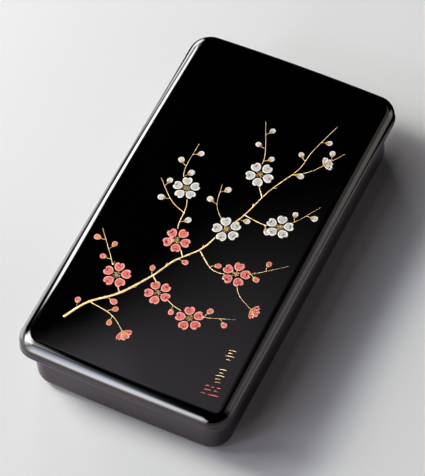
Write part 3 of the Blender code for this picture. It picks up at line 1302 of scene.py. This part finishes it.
class WRITINGBOX_OT_stage(bpy.types.Operator):
    """Pale floor, lamps, mirrored room and the camera"""

    bl_idname = "writingbox.stage"
    bl_label = "Stage"

    def execute(self, context):
        stage = context.scene.writing_box_stage
        self.add_floor(stage)
        self.add_lights(stage)
        self.add_floor_sheen(stage)
        self.add_camera(context.scene, stage)
        context.scene.view_settings.view_transform = "Standard"
        return {"FINISHED"}

    def add_floor(self, stage):
        """Paper with a fine grain, with painted shade beside the box and to its left that the lamps alone
        don't give, and a painted brightening past its far end.
        """
        floor = add_plane("floor", FLOOR_SIZE)
        finish = Finish("Pale paper floor")
        spread = finish.spread
        grain = finish.noise(finish.coordinates(), 900.0, 3.0)
        x, y, _ = finish.axes(finish.coordinates())
        beside = spread(x, 0.055, 0.060)
        painted_contact_shade = beside * spread(x, 0.074, 0.065) * spread(y, -0.108, -0.075) * spread(y, 0.128, 0.105)
        near = (spread(y, -0.126, -0.117) * spread(y, -0.100, -0.108) * spread(x, -0.045, -0.015)
                * spread(x, 0.075, 0.040))
        wide = (beside * spread(x, 0.125, 0.095) * spread(y, -0.100, -0.050) * spread(y, 0.148, 0.125)
                * spread(y, 0.050, 0.130, 0.09, 0.16))
        corner = spread(x, -0.040, -0.100) * spread(y, 0.020, -0.080)
        far = spread(y, 0.140, 0.220) * spread(x, -0.040, 0.040)
        # Painted shade beside the box and to its left, and a painted brightening past its far end, in the
        # floor's colour
        shade = 1.0 - painted_contact_shade * 0.20 - near * 0.07 - wide - corner * 0.05 + far * 0.06
        paper = finish.vector("SCALE", stage.floor_colour, Scale=shade)
        finish.set(Base_Color=paper, Roughness=0.9, Specular_IOR_Level=0.0,
                   Normal=finish.bump(grain, 0.00002))
        floor.data.materials.append(finish.material)

    def add_camera(self, scene, stage):
        lens = bpy.data.cameras.new("camera")
        lens.sensor_width = 36.0
        lens.lens = stage.lens
        camera = bpy.data.objects.new("camera", lens)
        scene.collection.objects.link(camera)
        scene.camera = camera
        back = view_back(stage)
        turn = back.to_track_quat("Z", "Y").to_matrix().to_4x4()
        place = Matrix.Translation(Vector(stage.target) + back * stage.distance)
        camera.matrix_world = place @ turn @ Matrix.Rotation(stage.roll, 4, "Z")

    def add_lights(self, stage):
        for distance, bearings, elevations, colour in FLOOR_LAMPS:
            floor_lamp(distance, bearings, elevations, scaled(colour, stage.floor_light))

        deselect_all()
        bpy.ops.mesh.primitive_uv_sphere_add(segments=48, ring_count=24, radius=ROOM_RADIUS)
        room = bpy.context.object
        room.name = "mirrored_room"
        finish = black_glow("Mirrored room")
        finish.set(Emission_Color=room_lights(finish, stage))
        room.data.materials.append(finish.material)
        unseen(room, diffuse=False, glossy=True)

    def add_floor_sheen(self, stage):
        """A painted reflection of the floor that only the lacquer sees: a tint that darkens the mirrored
        floor, a painted grazing sheen and a painted black far end.
        """
        sheet = add_plane("floor_sheen", SHEET_SIZE, SHEET_HEIGHT)
        finish = Finish("Floor sheen")
        spread = finish.spread
        x, y, _ = finish.axes(finish.coordinates())
        left = spread(x, -0.060, -0.072) * spread(y, -0.140, -0.114)
        near = spread(y, -0.117, -0.127) * spread(x, 0.072, 0.045) * 0.36
        right = spread(x, 0.060, 0.072) * spread(y, -0.125, -0.020) * 0.20
        facing = finish.node("ShaderNodeLayerWeight", {}, {"Blend": 0.5}, 1)
        # Painted sheen: how much of the mirrored floor is replaced by a glow, at grazing angles beside the
        # box
        share = facing * facing * left.at_least(near).at_least(right) * 0.9
        clear = finish.node("ShaderNodeBsdfTransparent", {}, {"Color": opaque(stage.floor_tint)})
        shine = finish.node("ShaderNodeEmission", {}, {"Strength": stage.floor_sheen})
        # Painted black over the mirrored floor past its far end
        dark = finish.node("ShaderNodeEmission", {}, {"Strength": 0.0})
        lit = finish.blend_shaders(share, clear, shine)
        whole = finish.blend_shaders(spread(y, 0.124, 0.140), lit, dark)
        finish.fill(finish.tree.nodes["Material Output"].inputs["Surface"], whole)
        sheet.data.materials.append(finish.material)
        unseen(sheet, diffuse=False, glossy=True)


class WRITINGBOX_PT_panel(bpy.types.Panel):
    """Lists the pieces in the sidebar"""

    bl_label = "Writing Box"
    bl_idname = "WRITINGBOX_PT_panel"
    bl_space_type = "VIEW_3D"
    bl_region_type = "UI"
    bl_category = "Writing Box"

    def draw(self, context):
        for operator in OPERATORS:
            self.layout.operator(operator.bl_idname)
        for group_name in GROUPS:
            group = getattr(context.scene, group_name)
            for name in group.__annotations__:
                self.layout.prop(group, name)


GROUPS = {
    "writing_box_sizes": BoxSizes,
    "writing_box_lacquer": LacquerLook,
    "writing_box_spray": SprayLook,
    "writing_box_stage": StageLook,
}
OPERATORS = (WRITINGBOX_OT_box, WRITINGBOX_OT_lid, WRITINGBOX_OT_boughs, WRITINGBOX_OT_blossoms,
             WRITINGBOX_OT_strokes, WRITINGBOX_OT_stage)


def register():
    for name, group in GROUPS.items():
        bpy.utils.register_class(group)
        setattr(bpy.types.Scene, name, bpy.props.PointerProperty(type=group))
    for shown in OPERATORS + (WRITINGBOX_PT_panel,):
        bpy.utils.register_class(shown)


def unregister():
    for shown in reversed(OPERATORS + (WRITINGBOX_PT_panel,)):
        bpy.utils.unregister_class(shown)
    for name, group in GROUPS.items():
        delattr(bpy.types.Scene, name)
        bpy.utils.unregister_class(group)


def main():
    register()
    bpy.ops.writingbox.box()
    bpy.ops.writingbox.lid()
    bpy.ops.writingbox.boughs()
    bpy.ops.writingbox.blossoms()
    bpy.ops.writingbox.strokes()
    bpy.ops.writingbox.stage()


if __name__ == "__main__":
    main()
